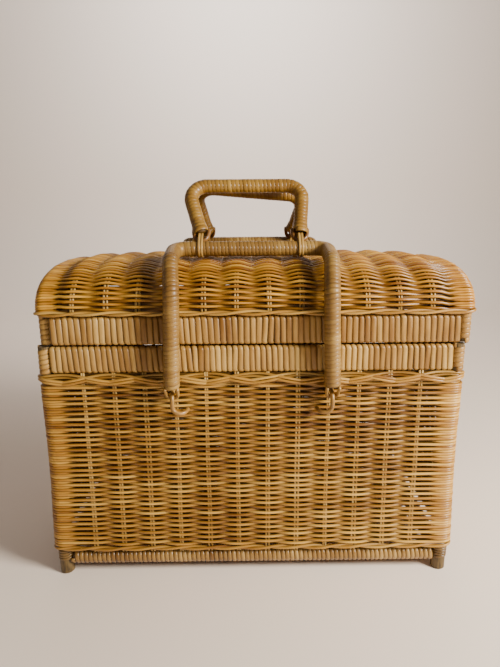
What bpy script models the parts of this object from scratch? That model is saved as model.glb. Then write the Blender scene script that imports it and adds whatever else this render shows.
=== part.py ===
"""Wicker hamper with a hinged, domed lid, two swinging bails and two carrying grips.

A woven basket stands on four corner posts. Two wrapped U-shaped bails hang on cane rings in its
front and rear walls and fold over the lid. Each bail carries a small wrapped grip, tied to the
bail's bar by cane links, and at rest the two grips lean together over the middle of the lid.

Units are metres. +X is to the right, -Y is the front, +Z is up, and the origin is on the floor
under the middle of the basket.
"""
import math

import bmesh
import bpy
from mathutils import Vector

GAP = 0.0003                # clearance between pieces that touch on the real object
LEFT_RIGHT = {"left": -1, "right": 1}
FRONT_REAR = {"front": -1, "rear": 1}

# Basket
BODY_WIDTH = 0.4306         # outside the weave, at the waist
BODY_DEPTH = 0.2266
WAIST_Z = 0.151             # height where the basket is narrowest
FOOT_BOW = 0.0027           # how far the posts bow out below the waist
RIM_BOW = 0.0004            # and above it
POST_R = 0.0075
WEAVE_T = 0.0040
WEAVE_Z0, WEAVE_Z1 = 0.0363, 0.2170
TWINING_Z0, TWINING_Z1 = 0.0292, 0.0360
BRAID_Z0, BRAID_Z1 = 0.2173, 0.2296
BRAID_BULGE = 0.0012        # the braid's extra thickness over the weave
TWINING_BULGE = 0.0005
RAIL_R = 0.0085
RAIL_Z = 0.0190
BASE_Z0, BASE_Z1 = 0.0290, 0.0350
SLAT_R = 0.0045
SLAT_X = 0.070

# Rim of the basket
RIM_WIDTH, RIM_DEPTH = 0.4260, 0.2260
RIM_Z0, RIM_Z1 = 0.2306, 0.2580
BAND_T = 0.0090
BAND_BEVEL = 0.0030
TENON_R = 0.0060            # the post tops inside the rim
TENON_STEP = 0.0005         # height of the step between post and tenon

# Lid
LID_WIDTH, LID_DEPTH = 0.4280, 0.2270
LID_SHIFT = 0.0040          # the lid sits this far to the right of the basket
LID_Z0, LID_Z1 = 0.2595, 0.2885
LID_TWINING_Z0, LID_TWINING_Z1 = 0.2888, 0.2936
LID_TWINING_T = 0.0044
LID_TWINING_OUT = 0.0046    # how far the twining stands out past the lid's ends
LID_TWINING_CORNER = 0.0110
DOME_BASE_Z = 0.2890
DOME_Z0 = 0.2940            # where the dome's weave starts, over the twining
DOME_RISE = 0.0540          # at the middle of the lid
DOME_END_DROP = 0.0060      # how much lower the dome is at its ends
DOME_END_POWER = 5
DOME_POWER = 2.6            # superellipse exponent of the dome's arched section
ARCH_R = 0.0060

# Lid hinges: cane loops round a short rod behind the rim
HINGE_X = 0.135
HINGE_Y, HINGE_Z = 0.1180, 0.25875
HINGE_ROD_R = 0.0020
HINGE_ROD_END = 0.0015      # how far the rod stands out of its loops
HINGE_LOOP_R = 0.0040
HINGE_LOOP_WIDTH = 0.0090
HINGE_TAB_T = 0.0020
HINGE_TAB_LENGTH = 0.0200

# Bails, with their wall rings
BAIL_R = 0.0080
BAIL_HALF_WIDTH = 0.0790    # leg centre at the bottom
BAIL_LEG_Y = 0.1240
BAIL_BAR_Y, BAIL_BAR_Z = 0.0580, 0.3495
BAIL_END_Z = 0.2195
BAIL_CORNER_R = 0.0120
BAIL_ELBOW = (0.0760, BAIL_LEG_Y, 0.3130)       # where a leg bends in over the lid
BAIL_SHOULDER = (0.0790, 0.1000, 0.3405)        # where it flattens towards the bar
BAIL_BAR_HALF_WIDTH = 0.0800
BAIL_BEND_R = 0.0220
RING_PIVOT_Y, RING_PIVOT_Z = 0.1154, 0.2030
RING_R = 0.0110             # radius of a wall ring's arc, round the bail's swing axis
RING_STRAND_R = 0.0019
BAIL_EYE_ANGLE = math.radians(39.5)     # where the eye sits on the arc, forward of vertical
BAIL_EYE_INNER, BAIL_EYE_OUTER = 0.0070, 0.0165    # the eye's hole, measured from the axis
BAIL_EYE_HALF_WIDTH = 0.0055

# Grips, with their links to the bails
GRIP_R = 0.00775
GRIP_TOP_Y, GRIP_TOP_Z = 0.0083, 0.4155
GRIP_FOOT_X = 0.0525        # leg centre at the bail
GRIP_TOP_X = 0.0645         # leg centre at the top corners
GRIP_SKEW = {"front": -0.0055, "rear": 0.0}    # sideways shift of each grip's top
GRIP_DROP = {"front": 0.0, "rear": 0.0130}     # how much shorter its right leg is
GRIP_CORNER_R = 0.0170
GRIP_LEG_START = 0.0235     # from the bail bar's axis
GRIP_EYE_INNER, GRIP_EYE_OUTER = 0.0122, 0.0206
GRIP_EYE_HALF_WIDTH = 0.0066
LINK_WIDTH = 0.0056
LINK_T = 0.0012
LINK_FAR, LINK_FAR_R = 0.0125, 0.0055
EYE_T = 0.0016
EYE_WIDTH = 0.0040

COLOURS = {
    "weave": ((0.62, 0.38, 0.12), 0.42),
    "braid": ((0.66, 0.42, 0.15), 0.42),
    "wrap": ((0.72, 0.54, 0.29), 0.38),
    "post": ((0.33, 0.24, 0.10), 0.60),
    "ring": ((0.70, 0.50, 0.22), 0.40),
}


def clear_scene():
    for obj in list(bpy.data.objects):
        bpy.data.objects.remove(obj, do_unlink=True)


def make_materials():
    made = {}
    for name, (colour, roughness) in COLOURS.items():
        mat = bpy.data.materials.new(name)
        mat.use_nodes = True
        shader = mat.node_tree.nodes["Principled BSDF"]
        shader.inputs["Base Color"].default_value = (*colour, 1.0)
        shader.inputs["Roughness"].default_value = roughness
        shader.inputs["Metallic"].default_value = 0.0
        made[name] = mat
    return made


def pivot(name, position, parent=None):
    """Return an empty on a joint's axis, given its place in the world."""
    empty = bpy.data.objects.new(name, None)
    bpy.context.scene.collection.objects.link(empty)
    empty["world"] = position
    empty.location = Vector(position) - world_origin(parent)
    empty.parent = parent
    return empty


def world_origin(empty):
    return Vector(empty["world"]) if empty else Vector((0, 0, 0))


def add_part(name, bm, material, parent=None, bevel=0.0):
    """Make a named object from a mesh built in world coordinates."""
    bmesh.ops.recalc_face_normals(bm, faces=bm.faces)
    if bm.calc_volume(signed=True) < 0:
        bmesh.ops.reverse_faces(bm, faces=bm.faces)
    bmesh.ops.translate(bm, verts=bm.verts, vec=-world_origin(parent))
    mesh = bpy.data.meshes.new(name)
    bm.to_mesh(mesh)
    bm.free()
    mesh.materials.append(material)
    mesh.shade_smooth()
    mesh.set_sharp_from_angle(angle=math.radians(40))
    obj = bpy.data.objects.new(name, mesh)
    bpy.context.scene.collection.objects.link(obj)
    obj.parent = parent
    if bevel:
        modifier = obj.modifiers.new("rounded_edges", "BEVEL")
        modifier.width = bevel
        modifier.segments = 2
    return obj


def loft(sections, closed=False):
    """Return a mesh skinned over equal-length loops of points, capped unless it closes up."""
    bm = bmesh.new()
    rings = [[bm.verts.new(p) for p in section] for section in sections]
    count = len(rings[0])
    pairs = list(zip(rings, rings[1:]))
    if closed:
        pairs.append((rings[-1], rings[0]))
    for low, high in pairs:
        for i in range(count):
            j = (i + 1) % count
            bm.faces.new((low[i], low[j], high[j], high[i]))
    if not closed:
        bm.faces.new(rings[0])
        bm.faces.new(rings[-1])
    return bm


def circle(radius, sides):
    """Return a circle's points as (u, v) pairs."""
    turns = [2 * math.pi * (i + 0.5) / sides for i in range(sides)]
    return [(radius * math.cos(a), radius * math.sin(a)) for a in turns]


def rectangle(width, height):
    """Return a rectangle's corners as (u, v) pairs, u across and v along the sweep's normal."""
    w, h = width / 2, height / 2
    return [(-w, -h), (w, -h), (w, h), (-w, h)]


def sweep(path, profile, normal=None, closed=False):
    """Sweep a (u, v) profile along a path.

    v stays along the given normal, or along a direction carried along the path without twist.
    """
    count = len(path)
    sections = []
    carried = normal
    for i, point in enumerate(path):
        before = path[i - 1] if closed or i > 0 else point
        after = path[(i + 1) % count] if closed or i < count - 1 else point
        tangent = (after - before).normalized()
        if carried is None:
            carried = tangent.orthogonal()
        v = (carried - tangent * carried.dot(tangent)).normalized()
        u = tangent.cross(v)
        sections.append([point + u * a + v * b for a, b in profile])
        if normal is None:
            carried = v
    return loft(sections, closed)


def fillet_path(points, radii, step=math.radians(12)):
    """Return a polyline through the points, with each inner corner turned into an arc."""
    path = [Vector(points[0])]
    for corner, radius, start, end in zip(points[1:-1], radii, points, points[2:]):
        corner = Vector(corner)
        to_start = (Vector(start) - corner).normalized()
        to_end = (Vector(end) - corner).normalized()
        half = to_start.angle(to_end) / 2
        bisector = (to_start + to_end).normalized()
        centre = corner + bisector * (radius / math.sin(half))
        first = (corner + to_start * (radius / math.tan(half)) - centre).normalized()
        last = (corner + to_end * (radius / math.tan(half)) - centre).normalized()
        steps = max(2, round((math.pi - 2 * half) / step))
        path += [centre + first.slerp(last, i / steps) * radius for i in range(steps + 1)]
    path.append(Vector(points[-1]))
    return path


def tube(path, radius, sides=10, closed=False):
    return sweep(path, circle(radius, sides), closed=closed)


def box(low, high):
    bm = bmesh.new()
    bmesh.ops.create_cube(bm, size=1)
    size = Vector(high) - Vector(low)
    bmesh.ops.scale(bm, verts=bm.verts, vec=size)
    bmesh.ops.translate(bm, verts=bm.verts, vec=(Vector(high) + Vector(low)) / 2)
    return bm


def extrude_yz(outline, x0, x1):
    """Return a plate: an outline of (y, z) points between two planes across X."""
    return loft([[Vector((x, y, z)) for y, z in outline] for x in (x0, x1)])


# ---------------------------------------------------------------- basket

def bow(z):
    """Outward offset of the posts and the weave at a height, zero at the waist."""
    if z < WAIST_Z:
        return FOOT_BOW * 0.5 * (1 + math.cos(math.pi * z / WAIST_Z))
    share = min(1.0, (z - WAIST_Z) / (RIM_Z0 - WAIST_Z))
    return RIM_BOW * 0.5 * (1 - math.cos(math.pi * share))


def post_centre(z):
    """X and Y distances of the post centres from the middle at a height."""
    inset = POST_R + GAP + WEAVE_T
    return BODY_WIDTH / 2 - inset + bow(z), BODY_DEPTH / 2 - inset + bow(z)


def tenon_centre():
    return RIM_WIDTH / 2 - TENON_R - GAP, RIM_DEPTH / 2 - TENON_R - GAP


def corner_posts(materials):
    """Poles that are the feet at their lower ends and hold the rim bands at their tops."""
    foot_round = 0.0010
    levels = [foot_round, 0.020, 0.050, 0.080, 0.115, WAIST_Z, 0.190, RIM_Z0 - 2 * TENON_STEP]
    for y_name, sy in FRONT_REAR.items():
        for x_name, sx in LEFT_RIGHT.items():
            rounds = [(0.0, *post_centre(0.0), POST_R - foot_round)]
            rounds += [(z, *post_centre(z), POST_R) for z in levels]
            rounds.append((RIM_Z0 - TENON_STEP, *tenon_centre(), TENON_R))
            rounds.append((RIM_Z1, *tenon_centre(), TENON_R))
            sections = [[Vector((sx * (cx + u), sy * (cy + v), z)) for u, v in circle(r, 14)]
                        for z, cx, cy, r in rounds]
            add_part(f"corner_post_{y_name}_{x_name}", loft(sections), materials["post"])


def bottom_rails(materials):
    """Wrapped poles between the posts, under the weave."""
    cx, cy = post_centre(RAIL_Z)
    reach_x = cx - RAIL_R - GAP
    reach_y = cy - RAIL_R - GAP
    for name, sy in FRONT_REAR.items():
        path = [Vector((-reach_x, sy * cy, RAIL_Z)), Vector((reach_x, sy * cy, RAIL_Z))]
        add_part(f"bottom_rail_{name}", tube(path, RAIL_R, 12), materials["wrap"])
    for name, sx in LEFT_RIGHT.items():
        path = [Vector((sx * cx, -reach_y, RAIL_Z)), Vector((sx * cx, reach_y, RAIL_Z))]
        add_part(f"bottom_rail_{name}", tube(path, RAIL_R, 12), materials["wrap"])


def base(materials):
    """Woven floor, notched round the posts, on two slats that join the long rails."""
    cx, cy = post_centre(BASE_Z0)
    out_x, out_y = cx + POST_R - GAP, cy + POST_R - GAP
    in_x, in_y = cx - POST_R - 2 * GAP, cy - POST_R - 2 * GAP
    outline = []
    for sx, sy in ((1, -1), (1, 1), (-1, 1), (-1, -1)):
        notch = [(sx * in_x, sy * out_y), (sx * in_x, sy * in_y), (sx * out_x, sy * in_y)]
        outline += notch if sx * sy < 0 else reversed(notch)
    bm = loft([[Vector((x, y, z)) for x, y in outline] for z in (BASE_Z0, BASE_Z1)])
    add_part("base_weave", bm, materials["weave"])
    reach = post_centre(RAIL_Z)[1] - RAIL_R - GAP
    slat_z = BASE_Z0 - GAP - SLAT_R
    for name, sx in LEFT_RIGHT.items():
        path = [Vector((sx * SLAT_X, sy * reach, slat_z)) for sy in (-1, 1)]
        add_part(f"base_slat_{name}", tube(path, SLAT_R), materials["post"])


def wall_panels(materials):
    """Four woven walls that meet at 45 degrees outside the corner posts."""
    rho_in = POST_R + GAP
    rho_out = rho_in + WEAVE_T
    split = math.radians(1.5)           # opens the gap between neighbouring panels
    arc_steps, levels = 4, 7
    for k, name in enumerate(("front", "right", "rear", "left")):
        facing = math.radians(90 * k - 90)
        start, end = facing - math.pi / 4 + split, facing + math.pi / 4 - split
        sections = []
        for level in range(levels):
            z = WEAVE_Z0 + (WEAVE_Z1 - WEAVE_Z0) * level / (levels - 1)
            cx, cy = post_centre(z)
            outer, inner = [], []
            for low, high, diagonal in ((start, facing, start), (facing, end, end)):
                sx = math.copysign(1, math.cos(diagonal))
                sy = math.copysign(1, math.sin(diagonal))
                for i in range(arc_steps + 1):
                    a = low + (high - low) * i / arc_steps
                    for rho, side in ((rho_out, outer), (rho_in, inner)):
                        side.append(Vector((sx * cx + rho * math.cos(a),
                                            sy * cy + rho * math.sin(a), z)))
            sections.append(outer + inner[::-1])
        add_part(f"wall_weave_{name}", loft(sections), materials["weave"])


def rounded_ring(half_x, half_y, corner_r, z, arc_steps=5):
    """Return a closed path round a rectangle with rounded corners."""
    path = []
    for k, (sx, sy) in enumerate(((1, -1), (1, 1), (-1, 1), (-1, -1))):
        for i in range(arc_steps + 1):
            a = math.radians(90 * (k - 1) + 90 * i / arc_steps)
            path.append(Vector((sx * (half_x - corner_r) + corner_r * math.cos(a),
                                sy * (half_y - corner_r) + corner_r * math.sin(a), z)))
    return path


def oval(width, height, sides=8):
    return [(u * width / 2, v * height / 2) for u, v in circle(1 / math.cos(math.pi / sides), sides)]


def borders(materials):
    """Twined row under the weave and braid over it, both outside the posts."""
    up = Vector((0, 0, 1))
    rows = (("lower_twining", TWINING_Z0, TWINING_Z1, TWINING_BULGE),
            ("border_braid", BRAID_Z0, BRAID_Z1, BRAID_BULGE))
    for name, z0, z1, bulge in rows:
        z = (z0 + z1) / 2
        thick = WEAVE_T + bulge
        corner_r = POST_R + GAP + thick / 2
        cx, cy = post_centre(z)
        path = rounded_ring(cx + corner_r, cy + corner_r, corner_r, z)
        profile = rectangle(thick, z1 - z0) if bulge < BRAID_BULGE else oval(thick, z1 - z0)
        add_part(name, sweep(path, profile, up, closed=True), materials["braid"])


def band_set(prefix, centre_x, half, reach, z0, z1, material, parent=None):
    """Add four flat bands round a rim: half gives its outer half sizes, reach the band ends."""
    for name, sy in FRONT_REAR.items():
        y0, y1 = sorted((sy * half[1], sy * (half[1] - BAND_T)))
        bm = box((centre_x - reach[0], y0, z0), (centre_x + reach[0], y1, z1))
        add_part(f"{prefix}_{name}", bm, material, parent, BAND_BEVEL)
    for name, sx in LEFT_RIGHT.items():
        x0, x1 = sorted((centre_x + sx * half[0], centre_x + sx * (half[0] - BAND_T)))
        bm = box((x0, -reach[1], z0), (x1, reach[1], z1))
        add_part(f"{prefix}_{name}", bm, material, parent, BAND_BEVEL)


def rim_bands(materials):
    cx, cy = tenon_centre()
    reach = (cx - TENON_R - GAP, cy - TENON_R - GAP)
    half = (RIM_WIDTH / 2, RIM_DEPTH / 2)
    band_set("rim_band", 0.0, half, reach, RIM_Z0, RIM_Z1, materials["wrap"])


# ---------------------------------------------------------------- lid

def dome_rise(x):
    """Height of the dome over its base line at a distance from the lid's middle."""
    return DOME_RISE - DOME_END_DROP * abs(2 * x / LID_WIDTH) ** DOME_END_POWER


def dome_section(half_depth, rise, z_min, steps):
    """Return (y, z) points over the arched section from the front to the rear."""
    start = math.asin(max(0.0, (z_min - DOME_BASE_Z) / rise) ** (DOME_POWER / 2))
    points = []
    for i in range(steps + 1):
        t = start + (math.pi - 2 * start) * i / steps
        c, s = math.cos(t), math.sin(t)
        y = -math.copysign(abs(c) ** (2 / DOME_POWER), c) * half_depth
        points.append((y, DOME_BASE_Z + rise * max(0.0, s) ** (2 / DOME_POWER)))
    return points


def arch_foot():
    """X and Y distances of the lid arches' feet from the lid's middle."""
    return LID_WIDTH / 2 - ARCH_R - GAP, LID_DEPTH / 2 - WEAVE_T - ARCH_R - GAP


def lid_frame(materials, parent):
    """Four wrapped bands and two bent poles whose feet are the lid's corners."""
    foot_x, foot_y = arch_foot()
    reach = (foot_x - ARCH_R - GAP, foot_y - ARCH_R - GAP)
    half = (LID_WIDTH / 2 - GAP, LID_DEPTH / 2)
    band_set("lid_band", LID_SHIFT, half, reach, LID_Z0, LID_Z1, materials["wrap"], parent)
    rise = dome_rise(foot_x) - WEAVE_T - ARCH_R - 2 * GAP
    top = dome_section(foot_y, rise, DOME_BASE_Z, 20)
    outline = [(-foot_y, LID_Z0), *top, (foot_y, LID_Z0)]
    for name, sx in LEFT_RIGHT.items():
        path = [Vector((LID_SHIFT + sx * foot_x, y, z)) for y, z in outline]
        bm = sweep(path, circle(ARCH_R, 10), Vector((1, 0, 0)))
        add_part(f"lid_arch_{name}", bm, materials["post"], parent)


def lid_twining(materials, parent):
    z = (LID_TWINING_Z0 + LID_TWINING_Z1) / 2
    half_x = LID_WIDTH / 2 + LID_TWINING_OUT - LID_TWINING_T / 2
    half_y = LID_DEPTH / 2 + GAP * 2 - LID_TWINING_T / 2
    path = rounded_ring(half_x, half_y, LID_TWINING_CORNER - LID_TWINING_T / 2, z)
    for point in path:
        point.x += LID_SHIFT
    profile = rectangle(LID_TWINING_T, LID_TWINING_Z1 - LID_TWINING_Z0)
    bm = sweep(path, profile, Vector((0, 0, 1)), closed=True)
    add_part("lid_twining", bm, materials["braid"], parent)


def dome_weave(materials, parent):
    """Arched woven shell over the two arches."""
    stations, steps = 12, 16
    half_x = LID_WIDTH / 2 - 2 * GAP
    sections = []
    for i in range(stations + 1):
        x = -half_x * math.cos(math.pi * i / stations)
        rise = dome_rise(x)
        outer = dome_section(LID_DEPTH / 2, rise, DOME_Z0, steps)
        inner = dome_section(LID_DEPTH / 2 - WEAVE_T, rise - WEAVE_T, DOME_Z0, steps)
        sections.append([Vector((LID_SHIFT + x, y, z)) for y, z in outer + inner[::-1]])
    add_part("dome_weave", loft(sections), materials["weave"], parent)


def lid_end_weaves(materials, parent):
    """Half-moon panels that close the lid's ends under the arches."""
    foot_x, foot_y = arch_foot()
    clear = ARCH_R + 3 * GAP
    rise = dome_rise(foot_x) - WEAVE_T - ARCH_R - GAP - clear
    outline = dome_section(foot_y - clear, rise, DOME_Z0, 14)
    for name, sx in LEFT_RIGHT.items():
        x0, x1 = sorted(LID_SHIFT + sx * (foot_x + d) for d in (-WEAVE_T / 2, WEAVE_T / 2))
        add_part(f"lid_end_weave_{name}", extrude_yz(outline, x0, x1), materials["weave"], parent)


def loop_and_tab(tab_y, tab_dz, sides=12):
    """Return the outline pair of a strap: a loop round the hinge rod with a tab up or down.

    The outer line runs round the loop and the tab, the inner line round the rod's hole.
    """
    hole_r = HINGE_ROD_R + GAP
    outer, inner = [], []
    for i in range(sides):
        a = 2 * math.pi * (i + 0.5) / sides
        u, v = math.cos(a), math.sin(a)
        inner.append((HINGE_Y + hole_r * u, HINGE_Z + hole_r * v))
        y, z = HINGE_Y + HINGE_LOOP_R * u, HINGE_Z + HINGE_LOOP_R * v
        if u < 0 and v * tab_dz > 0:
            near = u > -math.sqrt(0.5)
            y = tab_y + HINGE_TAB_T if near else tab_y
            z = HINGE_Z + (tab_dz if abs(v) > 0.5 else 0)
        outer.append((y, z))
    return outer, inner


def strap(outer, inner, x0, x1):
    """Return the solid between two matching outlines across X."""
    stations = []
    for o, i in zip(outer, inner):
        stations.append([Vector((x0, *o)), Vector((x1, *o)), Vector((x1, *i)), Vector((x0, *i))])
    return loft(stations, closed=True)


def hinges(materials, lid):
    """Two rods behind the rim, each with a basket loop and a lid loop side by side."""
    for name, sx in LEFT_RIGHT.items():
        centre = sx * HINGE_X
        reach = HINGE_LOOP_WIDTH + HINGE_ROD_END
        path = [Vector((centre + d, HINGE_Y, HINGE_Z)) for d in (-reach, reach)]
        add_part(f"hinge_rod_{name}", tube(path, HINGE_ROD_R, 10), materials["ring"])
        body_tab_y = RIM_DEPTH / 2 + GAP
        outer, inner = loop_and_tab(body_tab_y, -HINGE_TAB_LENGTH)
        bm = strap(outer, inner, centre - HINGE_LOOP_WIDTH, centre - GAP)
        add_part(f"hinge_loop_basket_{name}", bm, materials["ring"])
        outer, inner = loop_and_tab(LID_DEPTH / 2 + GAP, HINGE_TAB_LENGTH)
        bm = strap(outer, inner, centre + GAP, centre + HINGE_LOOP_WIDTH)
        add_part(f"hinge_loop_lid_{name}", bm, materials["ring"], lid)


# ---------------------------------------------------------------- bails and grips

def wall_ring(name, x, side, materials):
    """Cane ring planted in a wall: an arc round the bail's swing axis."""
    wall_y = post_centre(RING_PIVOT_Z + RING_R)[1] + POST_R + GAP + WEAVE_T + GAP
    steps = 10
    path = [Vector((x, side * wall_y, RING_PIVOT_Z + RING_R))]
    for i in range(steps + 1):
        a = math.pi * i / steps
        y = RING_PIVOT_Y + RING_R * math.sin(a)
        path.append(Vector((x, side * y, RING_PIVOT_Z + RING_R * math.cos(a))))
    path.append(Vector((x, side * wall_y, RING_PIVOT_Z - RING_R)))
    bm = sweep(path, circle(RING_STRAND_R, 8), Vector((1, 0, 0)))
    add_part(name, bm, materials["ring"])


def eye_loop(centre, along, inner, outer, half_width, steps=14):
    """Return a flat cane loop in the plane of X and `along`, round the span inner..outer."""
    across = Vector((1, 0, 0))
    middle = centre + along * ((inner + outer) / 2)
    wide = across * (half_width + EYE_T / 2)
    tall = along * ((outer - inner + EYE_T) / 2)
    turns = [2 * math.pi * i / steps for i in range(steps)]
    path = [middle + wide * math.cos(a) + tall * math.sin(a) for a in turns]
    return sweep(path, rectangle(EYE_T, EYE_WIDTH), across.cross(along), closed=True)


def bail(name, side, materials, parent):
    """Wrapped U-shaped pole that folds over the lid's shoulder, with an eye at each end."""
    half = []
    for x, y, z in ((BAIL_HALF_WIDTH, BAIL_LEG_Y, BAIL_END_Z), BAIL_ELBOW, BAIL_SHOULDER,
                    (BAIL_BAR_HALF_WIDTH, BAIL_BAR_Y, BAIL_BAR_Z)):
        half.append(Vector((x, side * y, z)))
    points = [Vector((-p.x, p.y, p.z)) for p in half] + half[::-1]
    radii = [BAIL_BEND_R, BAIL_BEND_R, BAIL_CORNER_R, BAIL_CORNER_R, BAIL_BEND_R, BAIL_BEND_R]
    add_part(f"{name}_bail", tube(fillet_path(points, radii), BAIL_R, 12), materials["wrap"], parent)
    along = Vector((0, side * math.sin(BAIL_EYE_ANGLE), math.cos(BAIL_EYE_ANGLE)))
    for x_name, sx in LEFT_RIGHT.items():
        centre = Vector((sx * BAIL_HALF_WIDTH, side * RING_PIVOT_Y, RING_PIVOT_Z))
        bm = eye_loop(centre, along, BAIL_EYE_INNER, BAIL_EYE_OUTER, BAIL_EYE_HALF_WIDTH)
        add_part(f"{name}_bail_eye_{x_name}", bm, materials["ring"], parent)
        wall_ring(f"{name}_bail_ring_{x_name}", sx * BAIL_HALF_WIDTH, side, materials)


def link_outline(near_r, far_r, lean, origin, steps=8):
    """Return (y, z) points round two circles: the bail's bar and the far end of the link."""
    squeeze = math.asin((near_r - far_r) / LINK_FAR)
    far_arc = (LINK_FAR, far_r, -math.pi / 2 + squeeze, math.pi - 2 * squeeze)
    near_arc = (0.0, near_r, math.pi / 2 - squeeze, math.pi + 2 * squeeze)
    points = []
    for middle, radius, start, span in (far_arc, near_arc):
        for i in range(steps + 1):
            a = start + span * i / steps
            out, over = middle + radius * math.cos(a), radius * math.sin(a)
            points.append((origin[0] + out * lean[0] - over * lean[1],
                           origin[1] + out * lean[1] + over * lean[0]))
    return points


def grip(name, side, materials, parent):
    """Wrapped handle that leans from its bail's bar to the middle of the lid."""
    foot = Vector((0, side * BAIL_BAR_Y, BAIL_BAR_Z))
    top = Vector((0, side * GRIP_TOP_Y, GRIP_TOP_Z))
    along = (top - foot).normalized()
    length = (top - foot).length
    across = Vector((1, 0, 0))
    skew = GRIP_SKEW[name]
    points = []
    for sx, order, drop in ((-1, 1, 0.0), (1, -1, GRIP_DROP[name])):
        leg = [foot + across * (sx * GRIP_FOOT_X) + along * GRIP_LEG_START,
               foot + across * (sx * GRIP_TOP_X + skew) + along * (length - drop)]
        points += leg[::order]
    path = fillet_path(points, [GRIP_CORNER_R, GRIP_CORNER_R])
    add_part(f"{name}_grip", tube(path, GRIP_R, 12), materials["wrap"], parent)
    lean = (along.y, along.z)
    origin = (foot.y, foot.z)
    inner_r = BAIL_R + GAP
    for x_name, sx in LEFT_RIGHT.items():
        x = sx * GRIP_FOOT_X
        eye = eye_loop(foot + across * x, along, GRIP_EYE_INNER, GRIP_EYE_OUTER, GRIP_EYE_HALF_WIDTH)
        add_part(f"{name}_grip_eye_{x_name}", eye, materials["ring"], parent)
        outer = link_outline(inner_r + LINK_T, LINK_FAR_R + LINK_T / 2, lean, origin)
        inner = link_outline(inner_r, LINK_FAR_R - LINK_T / 2, lean, origin)
        bm = strap(outer, inner, x - LINK_WIDTH / 2, x + LINK_WIDTH / 2)
        add_part(f"{name}_grip_link_{x_name}", bm, materials["wrap"], parent)


def main():
    clear_scene()
    materials = make_materials()
    corner_posts(materials)
    bottom_rails(materials)
    base(materials)
    wall_panels(materials)
    borders(materials)
    rim_bands(materials)
    lid = pivot("lid_pivot", (0, HINGE_Y, HINGE_Z))
    lid_frame(materials, lid)
    lid_twining(materials, lid)
    dome_weave(materials, lid)
    lid_end_weaves(materials, lid)
    hinges(materials, lid)
    for name, side in FRONT_REAR.items():
        bail_pivot = pivot(f"{name}_bail_pivot", (0, side * RING_PIVOT_Y, RING_PIVOT_Z))
        bail(name, side, materials, bail_pivot)
        grip_pivot = pivot(f"{name}_grip_pivot", (0, side * BAIL_BAR_Y, BAIL_BAR_Z), bail_pivot)
        grip(name, side, materials, grip_pivot)


main()
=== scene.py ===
"""Looks of the wicker hamper: each cane, stake and weaver is a strand of its own."""
import math

import bpy
import numpy as np
from mathutils import Matrix, Vector


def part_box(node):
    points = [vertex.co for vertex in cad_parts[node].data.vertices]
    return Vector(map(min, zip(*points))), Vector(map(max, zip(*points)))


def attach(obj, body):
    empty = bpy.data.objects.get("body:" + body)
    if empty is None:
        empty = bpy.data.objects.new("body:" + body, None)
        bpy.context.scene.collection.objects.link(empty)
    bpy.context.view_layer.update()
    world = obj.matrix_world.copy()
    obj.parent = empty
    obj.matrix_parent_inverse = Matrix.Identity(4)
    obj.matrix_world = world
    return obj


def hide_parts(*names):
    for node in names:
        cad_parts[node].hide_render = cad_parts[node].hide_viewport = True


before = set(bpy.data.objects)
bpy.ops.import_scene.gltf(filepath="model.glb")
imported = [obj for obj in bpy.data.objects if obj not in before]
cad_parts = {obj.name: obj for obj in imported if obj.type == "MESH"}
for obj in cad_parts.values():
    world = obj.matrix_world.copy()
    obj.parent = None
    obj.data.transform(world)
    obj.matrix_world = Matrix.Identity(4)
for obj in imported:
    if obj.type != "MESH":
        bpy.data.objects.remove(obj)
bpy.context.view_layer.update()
rng = np.random.default_rng(11)

FRONT_REAR = {"front": -1, "rear": 1}
LEFT_RIGHT = {"left": -1, "right": 1}

# Frame dimensions, in metres, as the CAD has them
BODY_HALF = np.array((0.2153, 0.1133))     # outside the weave at the waist
WAIST_Z, RIM_Z0, RIM_Z1 = 0.151, 0.2306, 0.2580
FOOT_BOW, RIM_BOW = 0.0027, 0.0004
POST_R = 0.0075
POST_INSET = 0.0118                        # from the weave's outside to the post's centre
TENON = np.array((0.2067, 0.1067))
LID_SHIFT = 0.0040
LID_HALF = np.array((0.2140, 0.1135))
LID_Z0, LID_Z1 = 0.2595, 0.2885
DOME_BASE_Z, DOME_RISE, DOME_END_DROP, DOME_POWER = 0.2890, 0.0540, 0.0060, 2.6
DOME_Z0 = 0.2940                           # where its weave starts
DOME_END_POWER = 5
ARCH_FOOT = np.array((0.2077, 0.1032))
ARCH_R = 0.0060
ARCH_DROP = 0.0106                         # from the dome's crest to an arch pole's centre

# Weave
WEAVER_R = 0.00145                         # half a weaver's thickness
WEAVER_HEIGHT = 0.00305                    # rows are beaten down until they press on each other
STAKE_WIDTH, STAKE_THICK = 0.0024, 0.0020
STAKE_GAP = 0.00135                        # half the distance between the two stakes of a pair
SWING = 0.00195                            # how far a weaver stands in or out at a stake pair
STAKE_PITCH = 0.0309
SIDE_PITCH = 0.0290
ROWS = 64
WEAVE_Z0, WEAVE_Z1 = 0.0378, 0.2160        # the lowest and the highest row
STAKE_Z0, STAKE_Z1 = 0.0290, 0.2310
BASE_Z = 0.0322
INNER_SHADE = 0.22                         # painted shade: how dark a weaver is made where it passes behind the stakes
INNER_SPREAD = 0.46                        # a weaver lies flatter and wider behind the stakes
CREASE_SHADE = 0.52                              # painted shade along a strand's edges, where it presses on its neighbours
WIND_CREASE_SHADE = 0.34                         # the same on a pole's winding
CROSSING = (0.08, 0.92)                    # share of a span over which a weaver changes sides
FROM_POST, TO_POST = (0.12, 0.62), (0.38, 0.88)    # it is quicker beside a post
SPAN_STEPS = 8


# ---------------------------------------------------------------- strands

def unit(v):
    """Return vectors scaled to length 1."""
    return v / np.maximum(np.linalg.norm(v, axis=-1, keepdims=True), 1e-12)


def linked(name, data):
    """Return a new object in the scene."""
    obj = bpy.data.objects.new(name, data)
    bpy.context.scene.collection.objects.link(obj)
    return obj


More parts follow.
